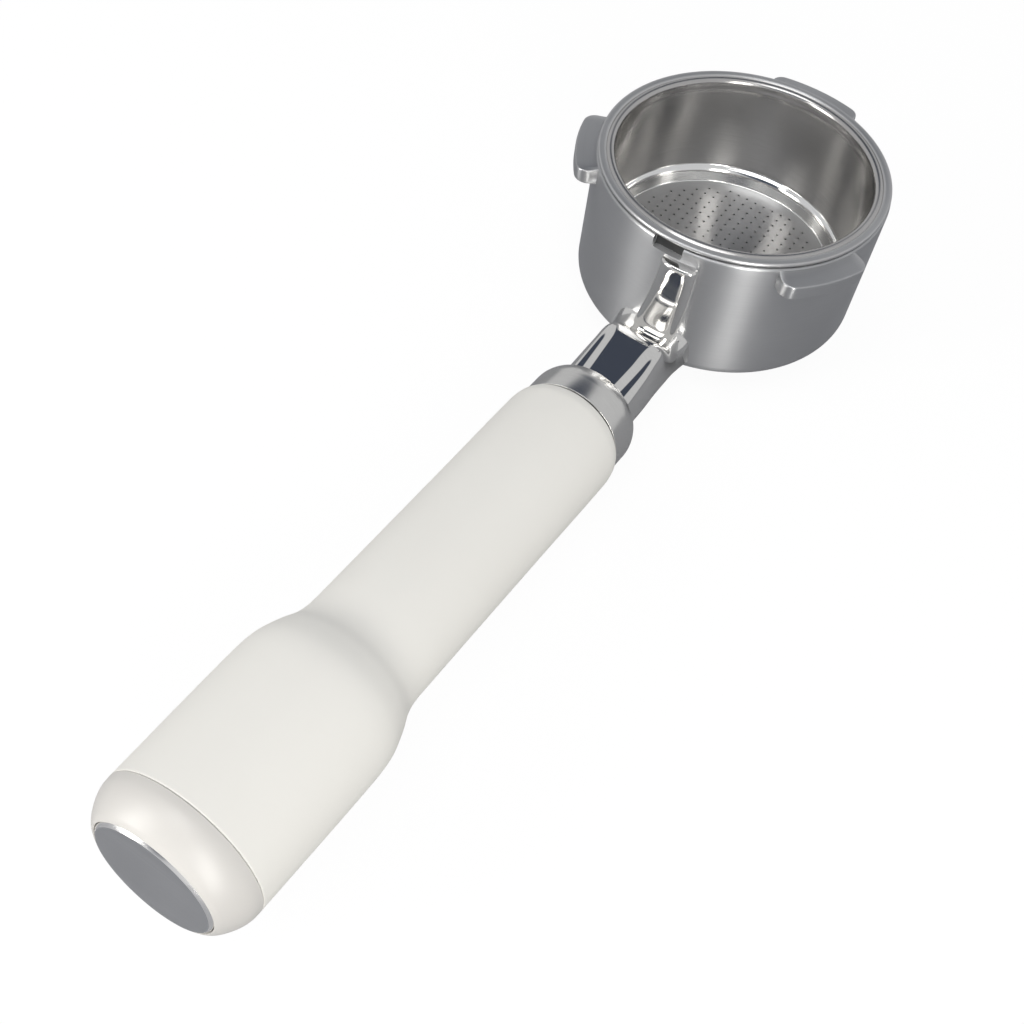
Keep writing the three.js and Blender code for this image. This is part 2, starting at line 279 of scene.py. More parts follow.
def notch_cutter():
    half = NOTCH_WIDTH / 2
    plan = rounded(
        [(-half, NOTCH_FOOT), (half, NOTCH_FOOT), (half, CUTTER_TOP), (-half, CUTTER_TOP)],
        NOTCH_CORNER, steps=6)
    mesh = bmesh.new()
    inner = [mesh.verts.new(Vector((x, -CUP_RADIUS + NOTCH_DEPTH, z)) * MM) for x, z in plan]
    outer = [mesh.verts.new(Vector((x, -CUP_RADIUS - CUTTER_REACH, z)) * MM) for x, z in plan]
    mesh.faces.new(inner)
    mesh.faces.new(outer[::-1])
    bridge(mesh, inner, outer)
    cutter = finish_mesh(mesh, "notch_cutter")
    cutter.data.transform(Matrix.Rotation(NOTCH_ANGLE, 4, "Z"))
    return cutter


def cut(piece, cutter):
    """Applies a boolean difference and removes the cutter."""
    modifier = piece.modifiers.new("cut", "BOOLEAN")
    modifier.object = cutter
    modifier.operation = "DIFFERENCE"
    modifier.solver = "EXACT"
    evaluated = piece.evaluated_get(bpy.context.evaluated_depsgraph_get())
    result = bpy.data.meshes.new_from_object(evaluated)
    piece.modifiers.clear()
    piece.data = result
    shade_smooth(result)
    bpy.data.objects.remove(cutter)


cut(cup, notch_cutter())
print("cup ring after the notch:", len(cup.data.polygons), "faces")

# %% [markdown]
# ## The bayonet lugs
#
# The three lugs are flat tongues that slide under ramps in the machine. Each is swept round the cup:
# the section is a slab with softened edges that starts inside the wall, and towards each end the
# outer radius falls along a quarter circle, which rounds the lug's corners. They are in one mesh
# with the cup, because a real cup is cast in one piece with them.

# %% Sweep the lugs
LUGS = ((-65.5, 33), (56.5, 33), (177.3, 36))
LUG_RADIUS = 33.98
LUG_TOP = -1.4
LUG_THICK = 3.05
LUG_CORNER = 2.6
LUG_ROOT = 29.0
LUG_EDGE = 0.42
FILLET_HEIGHT = 0.35
FILLET_FROM = 29.5
FILLET_REACH = 0.9


def lug_section(outer):
    """Radius and height of the slab's outline, with a small fillet where it meets the wall."""
    low = LUG_TOP - LUG_THICK
    middle = (LUG_TOP + low) / 2
    slab = [(LUG_ROOT, low), (outer, low), (outer, LUG_TOP), (LUG_ROOT, LUG_TOP)]
    section = []
    for radius, height in rounded(slab, LUG_EDGE, steps=5):
        fillet = FILLET_HEIGHT * max(0, 1 - (radius - FILLET_FROM) / FILLET_REACH) ** 2
        section.append((radius, height + (fillet if height > middle else -fillet)))
    return section


def add_lug(mesh, centre, span, steps=64):
    """Sweeps one lug round the cup, with sections packed closer towards its two ends."""
    half = math.radians(span / 2)
    corner = LUG_CORNER / LUG_RADIUS
    rings = []
    for k in range(steps):
        s = math.sin(math.pi * (k / (steps - 1) - 0.5))
        turn = half * s
        into_corner = max(0, abs(turn) - (half - corner)) / corner
        outer = LUG_RADIUS - LUG_CORNER * (1 - math.sqrt(max(0, 1 - into_corner ** 2)))
        angle = math.radians(centre - 90) + turn
        ring = []
        for r, z in lug_section(outer):
            ring.append(mesh.verts.new(Vector((r * math.cos(angle), r * math.sin(angle), z)) * MM))
        rings.append(ring)
    for a, b in zip(rings, rings[1:]):
        bridge(mesh, a, b)
    mesh.faces.new(rings[0][::-1])
    mesh.faces.new(rings[-1])


def merge_into(target, extra):
    """Adds another object's mesh to a piece and removes that object."""
    mesh = bmesh.new()
    mesh.from_mesh(target.data)
    mesh.from_mesh(extra.data)
    mesh.to_mesh(target.data)
    mesh.free()
    bpy.data.objects.remove(extra)


lug_mesh = bmesh.new()
for lug_angle, lug_span in LUGS:
    add_lug(lug_mesh, lug_angle, lug_span)
merge_into(cup, finish_mesh(lug_mesh, "lugs"))

# %% [markdown]
# The bottom of the notch is left rough from the tool, like a fine file. A small curved patch with
# crossed rows of tiny pyramids gives it that texture as real geometry.

# %% Roughen the floor of the notch
PATCH_MARGIN = 0.15
PATCH_TOP_MARGIN = 0.05
PATCH_LIFT = 0.03
TOOTH = 0.16


def rough_patch(columns=34, rows=10):
    mesh = bmesh.new()
    half = NOTCH_WIDTH / 2 - PATCH_MARGIN
    foot = NOTCH_FOOT + PATCH_MARGIN
    tall = CUP_TOP - NOTCH_FOOT - PATCH_MARGIN - PATCH_TOP_MARGIN
    bottom = -CUP_RADIUS + NOTCH_DEPTH - PATCH_LIFT
    grid = []
    for j in range(rows):
        line = []
        for i in range(columns):
            x = -half + 2 * half * i / (columns - 1)
            z = foot + tall * j / (rows - 1)
            y = bottom - TOOTH * ((i + j) % 2)
            line.append(mesh.verts.new(Vector((x, y, z)) * MM))
        grid.append(line)
    for a, b in zip(grid, grid[1:]):
        for i in range(columns - 1):
            mesh.faces.new([a[i], a[i + 1], b[i + 1], b[i]])
    bmesh.ops.transform(mesh, matrix=Matrix.Rotation(NOTCH_ANGLE, 4, "Z"), verts=mesh.verts)
    return finish_mesh(mesh, "rough_patch", sharp=10)


merge_into(cup, rough_patch())
stand_for(cup, "cup_ring", "holder")

# %% [markdown]
# ## The filter basket
#
# The basket is pressed from thin sheet: a rolled rim that seals against the machine, a straight
# wall, a stepped ring that stiffens it, and a flat floor with hundreds of fine holes. The holes are
# the detail that makes a basket read as one, so they are real holes. The floor is laid out as square
# cells with a hole in the middle of each; cells near the edge are left plain, and the gap between
# the cells and the round edge is filled flat.

# %% Lay out the perforated floor
FLOOR_TOP = -24.6
FLOOR_RADIUS = 23.8
SHEET = 0.6
PITCH = 2.13
HOLE = 0.23
HOLE_FIELD = 21.9
HOLE_SIDES = 12


def floor_cells():
    reach = int(HOLE_FIELD / PITCH) + 1
    spots = range(-reach, reach + 1)
    return [(i, j) for i in spots for j in spots if math.hypot(i + 0.5, j + 0.5) * PITCH < HOLE_FIELD]


def perforated_floor(mesh, edge_ring, height):
    """Fills a ring of vertices with a flat sheet that has a hole in each cell; returns hole rings."""
    corners = {}

    def corner(i, j):
        if (i, j) not in corners:
            point = Vector((i * PITCH, j * PITCH, height)) * MM
            corners[i, j] = mesh.verts.new(point)
        return corners[i, j]

    holes = []
    for i, j in floor_cells():
        ring = []
        for k in range(HOLE_SIDES):
            angle = 2 * math.pi * (k + 0.5) / HOLE_SIDES - 3 * math.pi / 4
            x = (i + 0.5) * PITCH + HOLE * math.cos(angle)
            y = (j + 0.5) * PITCH + HOLE * math.sin(angle)
            ring.append(mesh.verts.new(Vector((x, y, height)) * MM))
        square = [corner(i, j), corner(i + 1, j), corner(i + 1, j + 1), corner(i, j + 1)]
        per_side = HOLE_SIDES // 4
        for side in range(4):
            first = square[side]
            second = square[(side + 1) % 4]
            arc = [ring[(side * per_side + k) % HOLE_SIDES] for k in range(per_side + 1)]
            mesh.faces.new([first, second, arc[-1]])
            for a, b in zip(arc, arc[1:]):
                mesh.faces.new([first, b, a])
        holes.append(ring)
    mesh.edges.ensure_lookup_table()
    outline = [e for v in corners.values() for e in v.link_edges
               if len(e.link_faces) == 1 and all(w in corners.values() for w in e.verts)]
    outline += [e for e in mesh.edges if e.verts[0] in edge_ring and e.verts[1] in edge_ring]
    bmesh.ops.triangle_fill(mesh, use_beauty=True, use_dissolve=False, edges=list(set(outline)))
    return holes


print("holes in the basket's floor:", len(floor_cells()))

# %% [markdown]
# The wall is an open turned strip that runs from the edge of the upper floor surface, up the inside,
# over the rolled rim and down the outside to the edge of the lower floor surface. The two floors
# then close it, and short tubes join each pair of holes.

# %% Press the basket
RIM_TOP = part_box("filter_basket")[1].z / MM
RIM_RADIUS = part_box("filter_basket")[1].x / MM
WALL_OUT = 26.7
WALL_IN = WALL_OUT - SHEET
BASKET_SEGMENTS = 224
BEAD = 0.95
ROLL = 0.42


def basket_outline():
    inner = rounded(
        [(FLOOR_RADIUS, FLOOR_TOP), (24.2, FLOOR_TOP), (24.9, -22.4), (25.35, -21.8), (25.75, -21.6),
         (WALL_IN - 0.05, -21.3), (WALL_IN, -20.7), (WALL_IN, -2.4), (WALL_IN + 0.1, -1.7),
         (WALL_IN, -1.1), (WALL_IN + 0.02, -0.75)],
        0.3, steps=5, closed=False)
    bead = quarter(WALL_IN + BEAD, RIM_TOP - BEAD, BEAD, 170, 55, 12)
    groove = [(WALL_IN + 1.75, RIM_TOP - 0.33), (WALL_IN + 2.0, RIM_TOP - 0.12)]
    flange = [(WALL_IN + 2.3, RIM_TOP - 0.03), (RIM_RADIUS - 0.5, RIM_TOP - 0.06)]
    roll = quarter(RIM_RADIUS - ROLL, RIM_TOP - 0.48, ROLL, 75, -90, 12)
    outer = rounded(
        [(27.6, RIM_TOP - 0.9), (WALL_OUT, RIM_TOP - 1.3), (WALL_OUT, -21.6), (25.5, -22.8),
         (24.9, -24.9), (FLOOR_RADIUS, FLOOR_TOP - SHEET)],
        0.5, steps=5, closed=False)
    return inner + bead + groove + flange + roll + outer


def press_basket():
    mesh = bmesh.new()
    rings = []
    for radius, height in basket_outline():
        ring = []
        for i in range(BASKET_SEGMENTS):
            angle = 2 * math.pi * i / BASKET_SEGMENTS
            point = Vector((radius * math.cos(angle), radius * math.sin(angle), height))
            ring.append(mesh.verts.new(point * MM))
        rings.append(ring)
    for a, b in zip(rings, rings[1:]):
        bridge(mesh, a, b)
    upper = perforated_floor(mesh, set(rings[0]), FLOOR_TOP)
    lower = perforated_floor(mesh, set(rings[-1]), FLOOR_TOP - SHEET)
    for a, b in zip(upper, lower):
        bridge(mesh, a, b)
    return finish_mesh(mesh, "pressed_basket", sharp=38)


basket = press_basket()
stand_for(basket, "filter_basket", "basket")

# %% [markdown]
# ## The arm
#
# The arm is a polished casting brazed to the cup. Its neck is a rounded bar with a flat facet on
# top, a shallow flute down each shoulder, and a raised saddle where it meets the wall. It is lofted:
# each station has a section, and the section is a formula of the angle around the bar. A loft keeps
# the surface perfectly smooth between stations, which matters because a mirror finish shows the
# smallest ripple.

# %% Shape the neck's section
SHOULDER = 54.4
SIDE_POWER = 0.85
FULLNESS = 2.4
FLUTE_DEPTH = 0.6
FLUTE_FROM = 38.5
FLUTE_FULL = 43
FLUTE_SPREAD = 1.5
saddle = [(28.3, 7.8), (29.3, 6.8), (30.3, 6.1), (31.5, 5.6), (33, 5.4), (34.3, 5.6), (35.6, 6.3)]
crest = [(37.4, 7.7), (38.7, 8.55), (39.8, 8.72), (42, 8.25)]
arm_top = profile(saddle + crest + [(46, 7.3), (54.4, 6)])
arm_bottom = profile([(28, 3), (33, 4), (39, 5.6), (46, 6.5), (54.4, 7)])
arm_side = profile([(28, 8.7), (30, 8.4), (32, 8.1), (34, 7.9), (40, 7.8), (46, 8), (54.4, 8)])
facet_half = profile([(28, 4.2), (37, 4), (39.5, 3.6), (42, 3.3), (46, 3.1), (54.4, 2.5)])


def smooth(value, low, high):
    t = min(max((value - low) / (high - low), 0), 1)
    return t * t * (3 - 2 * t)


def neck_section(angle, station):
    """How far across and up the section's outline is, for an angle from straight up."""
    side = arm_side(station)
    sine = math.sin(angle)
    across = side * math.copysign(abs(sine) ** SIDE_POWER, sine)
    share = min(abs(across) / side, 1)
    if math.cos(angle) < 0:
        return across, -arm_bottom(station) * (1 - share ** FULLNESS) ** (1 / FULLNESS)
    facet = facet_half(station) / side
    fall = max(share - facet, 0) / (1 - facet)
    deep = FLUTE_DEPTH * smooth(station, FLUTE_FROM, FLUTE_FULL)
    flute = deep * math.sin(math.pi * min(fall * FLUTE_SPREAD, 1)) ** 2
    drop = (1 - fall ** FULLNESS) ** (1 / FULLNESS)
    return across, (arm_top(station) - flute) * drop


def loft(name, stations, around, section, place, sharp=60):
    """A closed bar through a section at each station."""
    mesh = bmesh.new()
    rings = []
    for station in stations:
        ring = []
        for k in range(around):
            across, up = section(2 * math.pi * k / around, station)
            ring.append(mesh.verts.new(place @ (Vector((across, station, up)) * MM)))
        rings.append(ring)
    for a, b in zip(rings, rings[1:]):
        bridge(mesh, a, b)
    mesh.faces.new(rings[0][::-1])
    mesh.faces.new(rings[-1])
    return finish_mesh(mesh, name, sharp)


neck_stations = ramp(28.3, 41.9, 100) + ramp(42.2, SHOULDER, 50)
arm = loft("arm_neck", neck_stations, 200, neck_section, handle_frame)

# %% [markdown]
# A rib climbs the cup's wall above the saddle and stiffens the joint. It is a rounded post that
# leans a little, seen from the handle's end. The same loft makes it, this time with stations that
# climb the cup, and its top is closed with a small dome of shrinking sections.

# %% Raise the rib on the cup's wall
RIB_FOOT = -24.0
RIB_TOP = -3.6
RIB_CAP = 0.8
RIB_HALF = 3.4
RIB_PROUD = 2.1
RIB_SHIFT = 0.2
RIB_LEAN = 2.1
RIB_SUNK = 0.9
RIB_BELLY = 1.8
FOOT_FLARE = 1.2
HEAD_FLARE = 0.5
FOOT_PROUD = 0.7
CAP_SHRINK = 0.6
CLIMB_FROM = -23
CLIMB_HEIGHT = 18
SCOOP = 0.12
SCOOP_FROM = RIB_TOP - 0.9
SCOOP_FULL = RIB_TOP - 3.4
BOX_POWER = 0.8


def boxy(value):
    """A sine or cosine pushed outwards, so that a round section turns slightly square."""
    return math.copysign(abs(value) ** BOX_POWER, value)


def rib_section(angle, height):
    """How far across and out of the cup the rib's outline is, for an angle and a height."""
    climb = min(max((height - CLIMB_FROM) / CLIMB_HEIGHT, 0), 1)
    into_cap = min(max((height - (RIB_TOP - RIB_CAP)) / RIB_CAP, 0), 1)
    shrink = CAP_SHRINK * (1 - math.sqrt(max(0, 1 - into_cap ** 2)))
    belly = RIB_BELLY * climb * (1 - climb)
    half = RIB_HALF + FOOT_FLARE * (1 - climb) ** 2 + HEAD_FLARE * climb ** 3 + belly - shrink
    proud = RIB_PROUD + FOOT_PROUD * (1 - climb) ** 2 - shrink
    across = half * boxy(math.sin(angle))
    sideways = RIB_SHIFT + RIB_LEAN * climb + belly + across
    out = math.cos(angle)
    if out < 0:
        return sideways, CUP_RADIUS + RIB_SUNK * boxy(out)
    hollow = SCOOP * smooth(height, SCOOP_FROM, SCOOP_FULL) * (1 - (across / half) ** 2) ** 2
    return sideways, CUP_RADIUS + proud * boxy(out) - hollow


rib_stations = ramp(RIB_FOOT, RIB_TOP - RIB_CAP, 50) + [
    RIB_TOP - RIB_CAP + RIB_CAP * math.sin(math.pi / 2 * k / 10) for k in range(1, 11)]
climbing = Matrix.Rotation(math.pi / 2, 4, "X")
rib = loft("arm_rib", rib_stations, 120, rib_section, climbing)
merge_into(arm, rib)

# %% [markdown]
# Behind the shoulder, inside the collar and the grip, the arm goes on as a round spigot. It is
# turned with its tapped hole and joined to the same mesh.

# %% Turn the spigot
SPIGOT_END = 82.0
SPIGOT_RADIUS = 6.0
TAPPED_RADIUS = 3.3
TAPPED_FROM = 68.0
spigot = turned("spigot", [
    (0, SHOULDER - 2), (SPIGOT_RADIUS, SHOULDER - 2), (SPIGOT_RADIUS, SPIGOT_END),
    (TAPPED_RADIUS, SPIGOT_END), (TAPPED_RADIUS, TAPPED_FROM), (0, TAPPED_FROM)], segments=64, softness=0.4)
merge_into(arm, spigot)
arm.name = "polished_arm"
stand_for(arm, "arm", "holder")

# %% [markdown]
# ## The collar and its seal
#
# A domed ferrule covers the joint between the neck and the grip. Its front is a soft dome and its
# back is cut square against a thin rubber ring.

# %% Turn the collar and the seal
COLLAR_RADIUS = 11.0
COLLAR_END = 63.45
GRIP_FRONT = 63.9
BORE = SPIGOT_RADIUS + 0.3
dome_edge = profile([(54.7, 9), (55.2, 10), (56.1, 10.6), (57.6, COLLAR_RADIUS), (60, COLLAR_RADIUS)])
dome = [(dome_edge(s), s) for s in ramp(54.72, 59, 36)]
collar = turned("domed_collar", [(BORE, SHOULDER + 0.3)] + dome + [
    (COLLAR_RADIUS, COLLAR_END), (BORE, COLLAR_END)], softness=0.14)
stand_for(collar, "collar", "holder")
seal = turned("seal_ring", [(BORE, COLLAR_END + 0.08), (10.7, COLLAR_END + 0.08), (10.7, GRIP_FRONT - 0.08),
                            (BORE, GRIP_FRONT - 0.08)], segments=96, softness=0.08)
stand_for(seal, "collar_seal", "holder")

# %% [markdown]
# ## The grip, the end cap and the disc
#
# The grip is one smooth moulding: slim in the fingers, then swelling into a wider butt that fills
# the palm. Its bore leaves room for the parts that hold it on.

# %% Turn the grip
GRIP_REAR = 166.3
GRIP_BORE = 9.5
grip_edge = profile([(64.5, 11.55), (66.5, 11.85), (90, 11.6), (122, 11.3), (127, 11.35), (130, 11.9),
                     (133, 13.1), (137, 14.22), (142, 14.46), (166, 14.0)])
skin = [(grip_edge(s), s) for s in ramp(64.5, GRIP_REAR - 0.12, 170)]
grip = turned("slim_grip", [(GRIP_BORE, GRIP_FRONT), (11.15, GRIP_FRONT)] + skin + [
    (13.9, GRIP_REAR), (GRIP_BORE, GRIP_REAR)], segments=192, softness=0.25)
stand_for(grip, "grip", "holder")

# %% [markdown]
# The end cap carries on the grip's line, with a fine seam between them, and rounds over to a shallow
# recess for the disc. A narrower plug on its front reaches into the grip.

# %% Turn the end cap
CAP_FRONT = GRIP_REAR + 0.04
DISC_RADIUS = 10.55
RECESS = DISC_RADIUS + 0.15
LIP = HANDLE_END - 0.35
cap_edge = profile([(CAP_FRONT, 14.0), (168, 13.85), (169.5, 13.35), (171, 12.5), (172, 11.7), (172.4, 11.2),
                    (LIP, RECESS + 0.05)])
cap = turned("end_cap_moulding", [(6.5, 160.4), (9.2, 160.4), (9.2, CAP_FRONT), (13.9, CAP_FRONT)]
             + [(cap_edge(s), s) for s in ramp(CAP_FRONT + 0.12, LIP, 60)]
             + [(RECESS, LIP - 0.1), (RECESS, HANDLE_END - 2.9), (6.5, HANDLE_END - 2.9)],
             segments=192, softness=0.06)
stand_for(cap, "end_cap", "holder")

# %% [markdown]
# The disc closes the end. Its edge is cut at 45 degrees, which gives the thin polished bevel.

# %% Turn the end disc
BEVEL = 0.5
DISC_FACE = HANDLE_END - 0.02
disc = turned("brushed_disc", [
    (0, HANDLE_END - 1.7), (DISC_RADIUS, HANDLE_END - 1.7), (DISC_RADIUS, DISC_FACE - BEVEL),
    (DISC_RADIUS - BEVEL, DISC_FACE), (0, DISC_FACE)], segments=160, softness=0.06)
stand_for(disc, "end_disc", "holder")

# %% [markdown]
# ## Finishes
#
# Every metal here starts from the same few effects, so each effect is a node group that is built
# once. The cloud group gives slow, cloudy change, the turned group gives fine rings that follow an
# axis, and the wear group finds convex edges. Each material places them with its own values.

# %% Helpers for nodes
def add(tree, kind, **settings):
    node = tree.nodes.new(kind)
    for key, value in settings.items():
        setattr(node, key, value)
    return node


def math_node(tree, operation, first, second=None):
    node = add(tree, "ShaderNodeMath", operation=operation)
    for slot, value in enumerate((first, second)):
        if isinstance(value, (int, float)):
            node.inputs[slot].default_value = value
        elif value is not None:
            tree.links.new(value, node.inputs[slot])
    return node.outputs[0]


def radius_of(tree, parts):
    """The distance from the Z axis, from the X and Y of a place."""
    squares = [math_node(tree, "POWER", parts.outputs[side], 2.0) for side in ("X", "Y")]
    return math_node(tree, "SQRT", math_node(tree, "ADD", *squares))


def new_group(name, inputs, outputs):
    """A shader group with float inputs and their values, plus a Vector input called Place."""
    group = bpy.data.node_groups.new(name, "ShaderNodeTree")
    group.interface.new_socket("Place", in_out="INPUT", socket_type="NodeSocketVector")
    for label, value in inputs.items():
        entry = group.interface.new_socket(label, in_out="INPUT", socket_type="NodeSocketFloat")
        entry.default_value = value
    for label in outputs:
        group.interface.new_socket(label, in_out="OUTPUT", socket_type="NodeSocketFloat")
    return group, group.nodes.new("NodeGroupInput"), group.nodes.new("NodeGroupOutput")


def cloud_group():
    """Slow, cloudy change such as handling and polishing leave."""
    group, source, sink = new_group("cloud", {"Scale": 60.0, "Detail": 4.0}, ["Value"])
    noise = add(group, "ShaderNodeTexNoise")
    group.links.new(source.outputs["Place"], noise.inputs["Vector"])
    group.links.new(source.outputs["Scale"], noise.inputs["Scale"])
    group.links.new(source.outputs["Detail"], noise.inputs["Detail"])
    group.links.new(noise.outputs["Fac"], sink.inputs["Value"])
    return group


AROUND_SHARE = 0.05


def turned_group():
    """Fine rings round an axis, as a lathe or a buffing wheel leaves, broken up along their length."""
    group, source, sink = new_group("turned_lines", {"Lines": 9000.0, "Breaks": 60.0}, ["Value"])
    parts = add(group, "ShaderNodeSeparateXYZ")
    group.links.new(source.outputs["Place"], parts.inputs[0])
    level = math_node(group, "ADD", parts.outputs["Z"], radius_of(group, parts))
    angle = math_node(group, "ARCTAN2", parts.outputs["Y"], parts.outputs["X"])
    joined = add(group, "ShaderNodeCombineXYZ")
    group.links.new(math_node(group, "MULTIPLY", level, source.outputs["Lines"]), joined.inputs["X"])
    around = math_node(group, "MULTIPLY", math_node(group, "COSINE", angle), source.outputs["Breaks"])
    group.links.new(math_node(group, "MULTIPLY", around, AROUND_SHARE), joined.inputs["Y"])
    noise = add(group, "ShaderNodeTexNoise")
    noise.inputs["Scale"].default_value = 1.0
    noise.inputs["Detail"].default_value = 3.0
    group.links.new(joined.outputs[0], noise.inputs["Vector"])
    group.links.new(noise.outputs["Fac"], sink.inputs["Value"])
    return group


def wear_group():
    """A mask of convex edges, where hands and other tools rub."""
    group, source, sink = new_group("edge_wear", {"Start": 0.52, "End": 0.6}, ["Mask"])
    geometry = add(group, "ShaderNodeNewGeometry")
    mask = add(group, "ShaderNodeMapRange")
    group.links.new(geometry.outputs["Pointiness"], mask.inputs["Value"])
    group.links.new(source.outputs["Start"], mask.inputs["From Min"])
    group.links.new(source.outputs["End"], mask.inputs["From Max"])
    group.links.new(mask.outputs["Result"], sink.inputs["Mask"])
    return group


CLOUD = cloud_group()
TURNED = turned_group()
WEAR = wear_group()
print("effects:", ", ".join(g.name for g in (CLOUD, TURNED, WEAR)))

# %% [markdown]
# One helper makes a metal. Its colour and roughness drift a little with the cloud, its lines come
# from the turned group, and edges are brighter and smoother where they are rubbed. The place that
# the lines turn about is the cup's axis or the handle's axis.

# %% A helper for metals and one for plastics
ACROSS_RINGS = 0.25
BUMP_REACH = 0.05 * MM
SKIN_GRAIN = 2600.0


def place_for(tree, axis):
    """Object coordinates, moved so that the chosen axis lies along Z through zero."""
    spot = add(tree, "ShaderNodeTexCoord")
    if axis == "cup":
        return spot.outputs["Object"]
    shift = add(tree, "ShaderNodeMapping", vector_type="TEXTURE")
    turn = Matrix((handle_across, -handle_up, handle_along)).transposed()
    shift.inputs["Location"].default_value = handle_start
    shift.inputs["Rotation"].default_value = turn.to_euler()
    tree.links.new(spot.outputs["Object"], shift.inputs["Vector"])
    return shift.outputs["Vector"]


def use_group(tree, group, place, **values):
    node = add(tree, "ShaderNodeGroup")
    node.node_tree = group
    tree.links.new(place, node.inputs["Place"])
    for label, value in values.items():
        node.inputs[label].default_value = value
    return node.outputs[0]


def spread(tree, value, low, high):
    """Maps a 0.3 to 0.7 texture value to low to high."""
    node = add(tree, "ShaderNodeMapRange")
    node.inputs["From Min"].default_value = 0.3
    node.inputs["From Max"].default_value = 0.7
    node.inputs["To Min"].default_value = low
    node.inputs["To Max"].default_value = high
    tree.links.new(value, node.inputs["Value"])
    return node.outputs["Result"]


def mix(tree, share, first, second, kind="RGBA"):
    """The first where share is 0 and the second where it is 1: plain values or other outputs."""
    node = add(tree, "ShaderNodeMix", data_type=kind)
    slot, result = (6, 2) if kind == "RGBA" else (2, 0)
    tree.links.new(share, node.inputs[0])
    for place, value in ((slot, first), (slot + 1, second)):
        if isinstance(value, bpy.types.NodeSocket):
            tree.links.new(value, node.inputs[place])
        else:
            node.inputs[place].default_value = value
    return node.outputs[result]


def tint(tree, value, dark, light):
    return mix(tree, value, (*dark, 1), (*light, 1))


def weigh(tree, first, second, share=0.5):
    """A share of the first value plus the rest of the second."""
    rest = math_node(tree, "MULTIPLY", second, 1 - share)
    return math_node(tree, "ADD", math_node(tree, "MULTIPLY", first, share), rest)


def within(tree, *tests):
    """1 where every test holds. A test is an operation, a value and a limit in millimetres."""
    result = None
    for operation, value, limit in tests:
        mask = math_node(tree, operation, value, limit * MM)
        result = mask if result is None else math_node(tree, "MULTIPLY", result, mask)
    return result


def emboss(tree, shader, height, strength):
    """Lifts the surface very slightly where a texture is bright."""
    bump = add(tree, "ShaderNodeBump")
    bump.inputs["Strength"].default_value = strength
    bump.inputs["Distance"].default_value = BUMP_REACH
    tree.links.new(height, bump.inputs["Height"])
    tree.links.new(bump.outputs["Normal"], shader.inputs["Normal"])


def new_material(name):
    material = bpy.data.materials.new(name)
    material.use_nodes = True
    tree = material.node_tree
    tree.nodes.clear()
    shader = add(tree, "ShaderNodeBsdfPrincipled")
    output = add(tree, "ShaderNodeOutputMaterial")
    tree.links.new(shader.outputs[0], output.inputs["Surface"])
    return material, tree, shader


def metal(name, dark, light, rough, lines=9000.0, depth=0.02, axis="cup", wear=0.5, aniso=0.0):
    """A metal: two tints, a roughness range, turned lines of some depth, and worn edges."""
    material, tree, shader = new_material(name)
    shader.inputs["Metallic"].default_value = 1.0
    shader.inputs["Anisotropic"].default_value = aniso
    shader.inputs["Anisotropic Rotation"].default_value = ACROSS_RINGS
    place = place_for(tree, axis)
    soft = use_group(tree, CLOUD, place, Scale=70.0)
    rings = use_group(tree, TURNED, place, Lines=lines)
    edges = use_group(tree, WEAR, place, Start=0.53, End=0.62)
    mixed = weigh(tree, soft, rings)
    tone = spread(tree, mixed, 0.0, 1.0)
    worn = math_node(tree, "MULTIPLY", edges, wear)
    brighter = math_node(tree, "MINIMUM", math_node(tree, "ADD", tone, worn), 1.0)
    tree.links.new(tint(tree, brighter, dark, light), shader.inputs["Base Color"])
    base = spread(tree, mixed, *rough)
    smoother = math_node(tree, "SUBTRACT", base, math_node(tree, "MULTIPLY", worn, 0.4 * rough[0]))
    tree.links.new(smoother, shader.inputs["Roughness"])
    emboss(tree, shader, rings, depth)
    return material


def plastic(name, dark, light, rough, depth=0.05):
    """A moulded plastic or rubber: faint clouding and a fine skin texture."""
    material, tree, shader = new_material(name)
    place = place_for(tree, "handle")
    soft = use_group(tree, CLOUD, place, Scale=26.0)
    fine = use_group(tree, CLOUD, place, Scale=SKIN_GRAIN, Detail=2.0)
    tree.links.new(tint(tree, spread(tree, soft, 0.0, 1.0), dark, light), shader.inputs["Base Color"])
    tree.links.new(spread(tree, weigh(tree, soft, fine, 0.6), *rough), shader.inputs["Roughness"])
    emboss(tree, shader, fine, depth)
    return material


# %% [markdown]
# The basket has three finishes in one pressing. Its wall is burnished by the forming tool, and the
# step at its foot is the brightest part: smoother, and painted near white as a painted highlight. The
# flat flange and the floor are duller: the flange is faced square to seal, and the floor is brushed
# before it is pierced. Radius and height pick the zone.

# %% A helper for the basket's zones
FLANGE_FROM = 27.9
FLANGE_ABOVE = -1.2
FLOOR_WITHIN = 24.0
FLOOR_BELOW = -24.3
STEP_BELOW = -21.2
# The step's near white tone is a painted highlight.
STEP_HIGHLIGHT_TONE = (0.95, 0.95, 0.94, 1)
STEP_POLISH = 0.1


